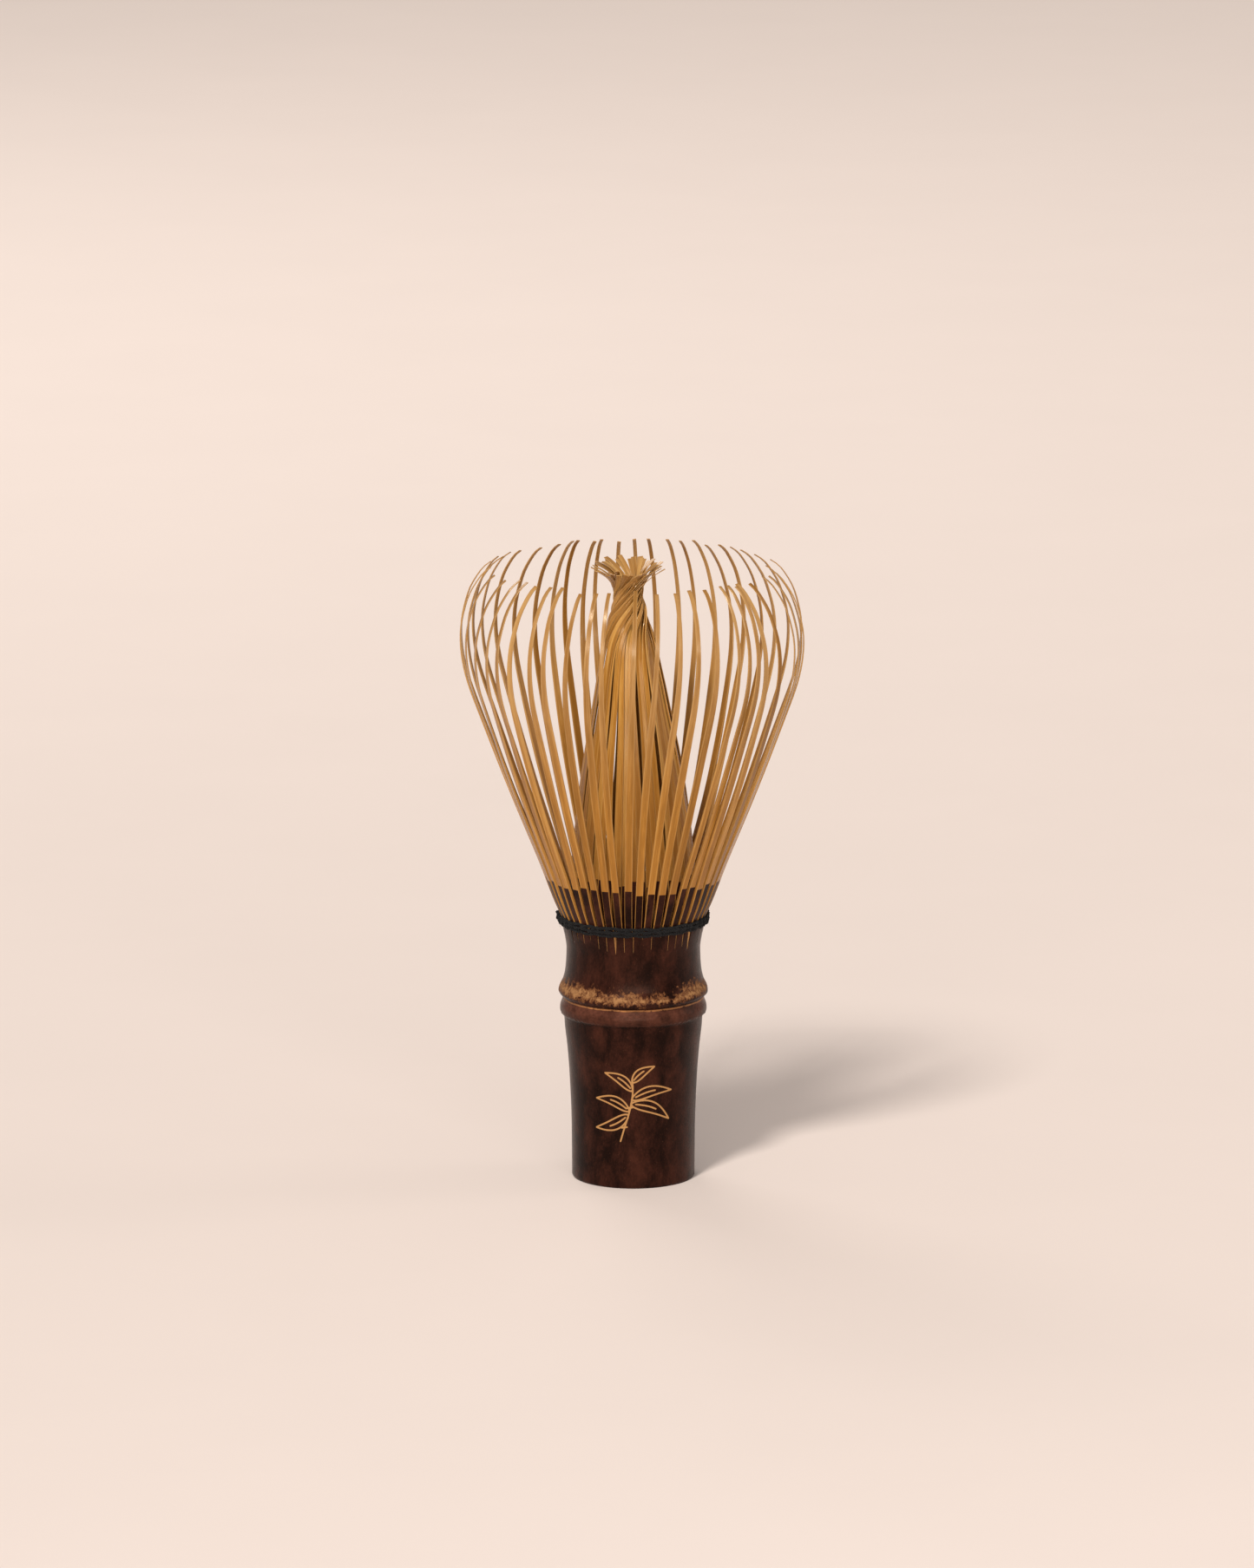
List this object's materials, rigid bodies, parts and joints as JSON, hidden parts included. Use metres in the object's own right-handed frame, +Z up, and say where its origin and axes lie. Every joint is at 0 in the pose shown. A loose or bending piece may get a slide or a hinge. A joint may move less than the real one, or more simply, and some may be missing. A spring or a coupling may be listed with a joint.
{
  "type": "bamboo tea whisk",
  "caption": "Hand whisk for powdered tea: a dark bamboo culm split into a ring of springy curved tines round a twisted inner bundle, laced with black thread.",
  "frame": {"origin": "centre of the culm's cut base, on the surface the whisk stands on", "axes": "+Z up along the culm, towards the tips; -Y is the front; +X is to the right seen from the front"},
  "size_m": [0.0652, 0.0652, 0.118],
  "materials": {
    "culm": "polished dark bamboo skin",
    "outer_tines": "shaved bamboo, satin",
    "inner_tines": "shaved bamboo, satin",
    "thread": "matt twisted cotton"
  },
  "bodies": {
    "culm": {"culm_handle": "culm", "binding_thread": "thread"},
    "inner_bundle": {"inner_tines_1": "inner_tines", "inner_tines_2": "inner_tines", "inner_tines_3": "inner_tines", "inner_tines_4": "inner_tines", "inner_tines_5": "inner_tines", "inner_tines_6": "inner_tines", "inner_tines_7": "inner_tines", "inner_tines_8": "inner_tines"},
    "outer_tine_01": {"outer_tine_01": "outer_tines"},
    "outer_tine_02": {"outer_tine_02": "outer_tines"},
    "outer_tine_03": {"outer_tine_03": "outer_tines"},
    "outer_tine_04": {"outer_tine_04": "outer_tines"},
    "outer_tine_05": {"outer_tine_05": "outer_tines"},
    "outer_tine_06": {"outer_tine_06": "outer_tines"},
    "outer_tine_07": {"outer_tine_07": "outer_tines"},
    "outer_tine_08": {"outer_tine_08": "outer_tines"},
    "outer_tine_09": {"outer_tine_09": "outer_tines"},
    "outer_tine_10": {"outer_tine_10": "outer_tines"},
    "outer_tine_11": {"outer_tine_11": "outer_tines"},
    "outer_tine_12": {"outer_tine_12": "outer_tines"},
    "outer_tine_13": {"outer_tine_13": "outer_tines"},
    "outer_tine_14": {"outer_tine_14": "outer_tines"},
    "outer_tine_15": {"outer_tine_15": "outer_tines"},
    "outer_tine_16": {"outer_tine_16": "outer_tines"},
    "outer_tine_17": {"outer_tine_17": "outer_tines"},
    "outer_tine_18": {"outer_tine_18": "outer_tines"},
    "outer_tine_19": {"outer_tine_19": "outer_tines"},
    "outer_tine_20": {"outer_tine_20": "outer_tines"},
    "outer_tine_21": {"outer_tine_21": "outer_tines"},
    "outer_tine_22": {"outer_tine_22": "outer_tines"},
    "outer_tine_23": {"outer_tine_23": "outer_tines"},
    "outer_tine_24": {"outer_tine_24": "outer_tines"},
    "outer_tine_25": {"outer_tine_25": "outer_tines"},
    "outer_tine_26": {"outer_tine_26": "outer_tines"},
    "outer_tine_27": {"outer_tine_27": "outer_tines"},
    "outer_tine_28": {"outer_tine_28": "outer_tines"},
    "outer_tine_29": {"outer_tine_29": "outer_tines"},
    "outer_tine_30": {"outer_tine_30": "outer_tines"},
    "outer_tine_31": {"outer_tine_31": "outer_tines"},
    "outer_tine_32": {"outer_tine_32": "outer_tines"},
    "outer_tine_33": {"outer_tine_33": "outer_tines"},
    "outer_tine_34": {"outer_tine_34": "outer_tines"},
    "outer_tine_35": {"outer_tine_35": "outer_tines"},
    "outer_tine_36": {"outer_tine_36": "outer_tines"},
    "outer_tine_37": {"outer_tine_37": "outer_tines"},
    "outer_tine_38": {"outer_tine_38": "outer_tines"},
    "outer_tine_39": {"outer_tine_39": "outer_tines"},
    "outer_tine_40": {"outer_tine_40": "outer_tines"},
    "outer_tine_41": {"outer_tine_41": "outer_tines"},
    "outer_tine_42": {"outer_tine_42": "outer_tines"},
    "outer_tine_43": {"outer_tine_43": "outer_tines"},
    "outer_tine_44": {"outer_tine_44": "outer_tines"},
    "outer_tine_45": {"outer_tine_45": "outer_tines"},
    "outer_tine_46": {"outer_tine_46": "outer_tines"},
    "outer_tine_47": {"outer_tine_47": "outer_tines"},
    "outer_tine_48": {"outer_tine_48": "outer_tines"}
  },
  "joints": [
    {"name": "inner_bundle_sway", "type": "hinge", "parent": "culm", "child": "inner_bundle", "pos_m": [0, 0, 0.0498], "axis": [1, 0, 0], "range_deg": [-3, 3], "stiffness_Nm_per_rad": 0.08},
    {"name": "outer_tine_01_flex", "type": "hinge", "parent": "culm", "child": "outer_tine_01", "pos_m": [0.01307, 0.00086, 0.0498], "axis": [-0.0654, 0.9979, 0], "range_deg": [-8, 5], "stiffness_Nm_per_rad": 0.0015},
    {"name": "outer_tine_02_flex", "type": "hinge", "parent": "culm", "child": "outer_tine_02", "pos_m": [0.01285, 0.00256, 0.0498], "axis": [-0.1951, 0.9808, 0], "range_deg": [-8, 5], "stiffness_Nm_per_rad": 0.0015},
    {"name": "outer_tine_03_flex", "type": "hinge", "parent": "culm", "child": "outer_tine_03", "pos_m": [0.0124, 0.00421, 0.0498], "axis": [-0.3214, 0.9469, 0], "range_deg": [-8, 5], "stiffness_Nm_per_rad": 0.0015},
    {"name": "outer_tine_04_flex", "type": "hinge", "parent": "culm", "child": "outer_tine_04", "pos_m": [0.01175, 0.00579, 0.0498], "axis": [-0.4423, 0.8969, 0], "range_deg": [-8, 5], "stiffness_Nm_per_rad": 0.0015},
    {"name": "outer_tine_05_flex", "type": "hinge", "parent": "culm", "child": "outer_tine_05", "pos_m": [0.01089, 0.00728, 0.0498], "axis": [-0.5556, 0.8315, 0], "range_deg": [-8, 5], "stiffness_Nm_per_rad": 0.0015},
    {"name": "outer_tine_06_flex", "type": "hinge", "parent": "culm", "child": "outer_tine_06", "pos_m": [0.00985, 0.00864, 0.0498], "axis": [-0.6593, 0.7518, 0], "range_deg": [-8, 5], "stiffness_Nm_per_rad": 0.0015},
    {"name": "outer_tine_07_flex", "type": "hinge", "parent": "culm", "child": "outer_tine_07", "pos_m": [0.00864, 0.00985, 0.0498], "axis": [-0.7518, 0.6593, 0], "range_deg": [-8, 5], "stiffness_Nm_per_rad": 0.0015},
    {"name": "outer_tine_08_flex", "type": "hinge", "parent": "culm", "child": "outer_tine_08", "pos_m": [0.00728, 0.01089, 0.0498], "axis": [-0.8315, 0.5556, 0], "range_deg": [-8, 5], "stiffness_Nm_per_rad": 0.0015},
    {"name": "outer_tine_09_flex", "type": "hinge", "parent": "culm", "child": "outer_tine_09", "pos_m": [0.00579, 0.01175, 0.0498], "axis": [-0.8969, 0.4423, 0], "range_deg": [-8, 5], "stiffness_Nm_per_rad": 0.0015},
    {"name": "outer_tine_10_flex", "type": "hinge", "parent": "culm", "child": "outer_tine_10", "pos_m": [0.00421, 0.0124, 0.0498], "axis": [-0.9469, 0.3214, 0], "range_deg": [-8, 5], "stiffness_Nm_per_rad": 0.0015},
    {"name": "outer_tine_11_flex", "type": "hinge", "parent": "culm", "child": "outer_tine_11", "pos_m": [0.00256, 0.01285, 0.0498], "axis": [-0.9808, 0.1951, 0], "range_deg": [-8, 5], "stiffness_Nm_per_rad": 0.0015},
    {"name": "outer_tine_12_flex", "type": "hinge", "parent": "culm", "child": "outer_tine_12", "pos_m": [0.00086, 0.01307, 0.0498], "axis": [-0.9979, 0.0654, 0], "range_deg": [-8, 5], "stiffness_Nm_per_rad": 0.0015},
    {"name": "outer_tine_13_flex", "type": "hinge", "parent": "culm", "child": "outer_tine_13", "pos_m": [-0.00086, 0.01307, 0.0498], "axis": [-0.9979, -0.0654, 0], "range_deg": [-8, 5], "stiffness_Nm_per_rad": 0.0015},
    {"name": "outer_tine_14_flex", "type": "hinge", "parent": "culm", "child": "outer_tine_14", "pos_m": [-0.00256, 0.01285, 0.0498], "axis": [-0.9808, -0.1951, 0], "range_deg": [-8, 5], "stiffness_Nm_per_rad": 0.0015},
    {"name": "outer_tine_15_flex", "type": "hinge", "parent": "culm", "child": "outer_tine_15", "pos_m": [-0.00421, 0.0124, 0.0498], "axis": [-0.9469, -0.3214, 0], "range_deg": [-8, 5], "stiffness_Nm_per_rad": 0.0015},
    {"name": "outer_tine_16_flex", "type": "hinge", "parent": "culm", "child": "outer_tine_16", "pos_m": [-0.00579, 0.01175, 0.0498], "axis": [-0.8969, -0.4423, 0], "range_deg": [-8, 5], "stiffness_Nm_per_rad": 0.0015},
    {"name": "outer_tine_17_flex", "type": "hinge", "parent": "culm", "child": "outer_tine_17", "pos_m": [-0.00728, 0.01089, 0.0498], "axis": [-0.8315, -0.5556, 0], "range_deg": [-8, 5], "stiffness_Nm_per_rad": 0.0015},
    {"name": "outer_tine_18_flex", "type": "hinge", "parent": "culm", "child": "outer_tine_18", "pos_m": [-0.00864, 0.00985, 0.0498], "axis": [-0.7518, -0.6593, 0], "range_deg": [-8, 5], "stiffness_Nm_per_rad": 0.0015},
    {"name": "outer_tine_19_flex", "type": "hinge", "parent": "culm", "child": "outer_tine_19", "pos_m": [-0.00985, 0.00864, 0.0498], "axis": [-0.6593, -0.7518, 0], "range_deg": [-8, 5], "stiffness_Nm_per_rad": 0.0015},
    {"name": "outer_tine_20_flex", "type": "hinge", "parent": "culm", "child": "outer_tine_20", "pos_m": [-0.01089, 0.00728, 0.0498], "axis": [-0.5556, -0.8315, 0], "range_deg": [-8, 5], "stiffness_Nm_per_rad": 0.0015},
    {"name": "outer_tine_21_flex", "type": "hinge", "parent": "culm", "child": "outer_tine_21", "pos_m": [-0.01175, 0.00579, 0.0498], "axis": [-0.4423, -0.8969, 0], "range_deg": [-8, 5], "stiffness_Nm_per_rad": 0.0015},
    {"name": "outer_tine_22_flex", "type": "hinge", "parent": "culm", "child": "outer_tine_22", "pos_m": [-0.0124, 0.00421, 0.0498], "axis": [-0.3214, -0.9469, 0], "range_deg": [-8, 5], "stiffness_Nm_per_rad": 0.0015},
    {"name": "outer_tine_23_flex", "type": "hinge", "parent": "culm", "child": "outer_tine_23", "pos_m": [-0.01285, 0.00256, 0.0498], "axis": [-0.1951, -0.9808, 0], "range_deg": [-8, 5], "stiffness_Nm_per_rad": 0.0015},
    {"name": "outer_tine_24_flex", "type": "hinge", "parent": "culm", "child": "outer_tine_24", "pos_m": [-0.01307, 0.00086, 0.0498], "axis": [-0.0654, -0.9979, 0], "range_deg": [-8, 5], "stiffness_Nm_per_rad": 0.0015},
    {"name": "outer_tine_25_flex", "type": "hinge", "parent": "culm", "child": "outer_tine_25", "pos_m": [-0.01307, -0.00086, 0.0498], "axis": [0.0654, -0.9979, 0], "range_deg": [-8, 5], "stiffness_Nm_per_rad": 0.0015},
    {"name": "outer_tine_26_flex", "type": "hinge", "parent": "culm", "child": "outer_tine_26", "pos_m": [-0.01285, -0.00256, 0.0498], "axis": [0.1951, -0.9808, 0], "range_deg": [-8, 5], "stiffness_Nm_per_rad": 0.0015},
    {"name": "outer_tine_27_flex", "type": "hinge", "parent": "culm", "child": "outer_tine_27", "pos_m": [-0.0124, -0.00421, 0.0498], "axis": [0.3214, -0.9469, 0], "range_deg": [-8, 5], "stiffness_Nm_per_rad": 0.0015},
    {"name": "outer_tine_28_flex", "type": "hinge", "parent": "culm", "child": "outer_tine_28", "pos_m": [-0.01175, -0.00579, 0.0498], "axis": [0.4423, -0.8969, 0], "range_deg": [-8, 5], "stiffness_Nm_per_rad": 0.0015},
    {"name": "outer_tine_29_flex", "type": "hinge", "parent": "culm", "child": "outer_tine_29", "pos_m": [-0.01089, -0.00728, 0.0498], "axis": [0.5556, -0.8315, 0], "range_deg": [-8, 5], "stiffness_Nm_per_rad": 0.0015},
    {"name": "outer_tine_30_flex", "type": "hinge", "parent": "culm", "child": "outer_tine_30", "pos_m": [-0.00985, -0.00864, 0.0498], "axis": [0.6593, -0.7518, 0], "range_deg": [-8, 5], "stiffness_Nm_per_rad": 0.0015},
    {"name": "outer_tine_31_flex", "type": "hinge", "parent": "culm", "child": "outer_tine_31", "pos_m": [-0.00864, -0.00985, 0.0498], "axis": [0.7518, -0.6593, 0], "range_deg": [-8, 5], "stiffness_Nm_per_rad": 0.0015},
    {"name": "outer_tine_32_flex", "type": "hinge", "parent": "culm", "child": "outer_tine_32", "pos_m": [-0.00728, -0.01089, 0.0498], "axis": [0.8315, -0.5556, 0], "range_deg": [-8, 5], "stiffness_Nm_per_rad": 0.0015},
    {"name": "outer_tine_33_flex", "type": "hinge", "parent": "culm", "child": "outer_tine_33", "pos_m": [-0.00579, -0.01175, 0.0498], "axis": [0.8969, -0.4423, 0], "range_deg": [-8, 5], "stiffness_Nm_per_rad": 0.0015},
    {"name": "outer_tine_34_flex", "type": "hinge", "parent": "culm", "child": "outer_tine_34", "pos_m": [-0.00421, -0.0124, 0.0498], "axis": [0.9469, -0.3214, 0], "range_deg": [-8, 5], "stiffness_Nm_per_rad": 0.0015},
    {"name": "outer_tine_35_flex", "type": "hinge", "parent": "culm", "child": "outer_tine_35", "pos_m": [-0.00256, -0.01285, 0.0498], "axis": [0.9808, -0.1951, 0], "range_deg": [-8, 5], "stiffness_Nm_per_rad": 0.0015},
    {"name": "outer_tine_36_flex", "type": "hinge", "parent": "culm", "child": "outer_tine_36", "pos_m": [-0.00086, -0.01307, 0.0498], "axis": [0.9979, -0.0654, 0], "range_deg": [-8, 5], "stiffness_Nm_per_rad": 0.0015},
    {"name": "outer_tine_37_flex", "type": "hinge", "parent": "culm", "child": "outer_tine_37", "pos_m": [0.00086, -0.01307, 0.0498], "axis": [0.9979, 0.0654, 0], "range_deg": [-8, 5], "stiffness_Nm_per_rad": 0.0015},
    {"name": "outer_tine_38_flex", "type": "hinge", "parent": "culm", "child": "outer_tine_38", "pos_m": [0.00256, -0.01285, 0.0498], "axis": [0.9808, 0.1951, 0], "range_deg": [-8, 5], "stiffness_Nm_per_rad": 0.0015},
    {"name": "outer_tine_39_flex", "type": "hinge", "parent": "culm", "child": "outer_tine_39", "pos_m": [0.00421, -0.0124, 0.0498], "axis": [0.9469, 0.3214, 0], "range_deg": [-8, 5], "stiffness_Nm_per_rad": 0.0015},
    {"name": "outer_tine_40_flex", "type": "hinge", "parent": "culm", "child": "outer_tine_40", "pos_m": [0.00579, -0.01175, 0.0498], "axis": [0.8969, 0.4423, 0], "range_deg": [-8, 5], "stiffness_Nm_per_rad": 0.0015},
    {"name": "outer_tine_41_flex", "type": "hinge", "parent": "culm", "child": "outer_tine_41", "pos_m": [0.00728, -0.01089, 0.0498], "axis": [0.8315, 0.5556, 0], "range_deg": [-8, 5], "stiffness_Nm_per_rad": 0.0015},
    {"name": "outer_tine_42_flex", "type": "hinge", "parent": "culm", "child": "outer_tine_42", "pos_m": [0.00864, -0.00985, 0.0498], "axis": [0.7518, 0.6593, 0], "range_deg": [-8, 5], "stiffness_Nm_per_rad": 0.0015},
    {"name": "outer_tine_43_flex", "type": "hinge", "parent": "culm", "child": "outer_tine_43", "pos_m": [0.00985, -0.00864, 0.0498], "axis": [0.6593, 0.7518, 0], "range_deg": [-8, 5], "stiffness_Nm_per_rad": 0.0015},
    {"name": "outer_tine_44_flex", "type": "hinge", "parent": "culm", "child": "outer_tine_44", "pos_m": [0.01089, -0.00728, 0.0498], "axis": [0.5556, 0.8315, 0], "range_deg": [-8, 5], "stiffness_Nm_per_rad": 0.0015},
    {"name": "outer_tine_45_flex", "type": "hinge", "parent": "culm", "child": "outer_tine_45", "pos_m": [0.01175, -0.00579, 0.0498], "axis": [0.4423, 0.8969, 0], "range_deg": [-8, 5], "stiffness_Nm_per_rad": 0.0015},
    {"name": "outer_tine_46_flex", "type": "hinge", "parent": "culm", "child": "outer_tine_46", "pos_m": [0.0124, -0.00421, 0.0498], "axis": [0.3214, 0.9469, 0], "range_deg": [-8, 5], "stiffness_Nm_per_rad": 0.0015},
    {"name": "outer_tine_47_flex", "type": "hinge", "parent": "culm", "child": "outer_tine_47", "pos_m": [0.01285, -0.00256, 0.0498], "axis": [0.1951, 0.9808, 0], "range_deg": [-8, 5], "stiffness_Nm_per_rad": 0.0015},
    {"name": "outer_tine_48_flex", "type": "hinge", "parent": "culm", "child": "outer_tine_48", "pos_m": [0.01307, -0.00086, 0.0498], "axis": [0.0654, 0.9979, 0], "range_deg": [-8, 5], "stiffness_Nm_per_rad": 0.0015}
  ]
}
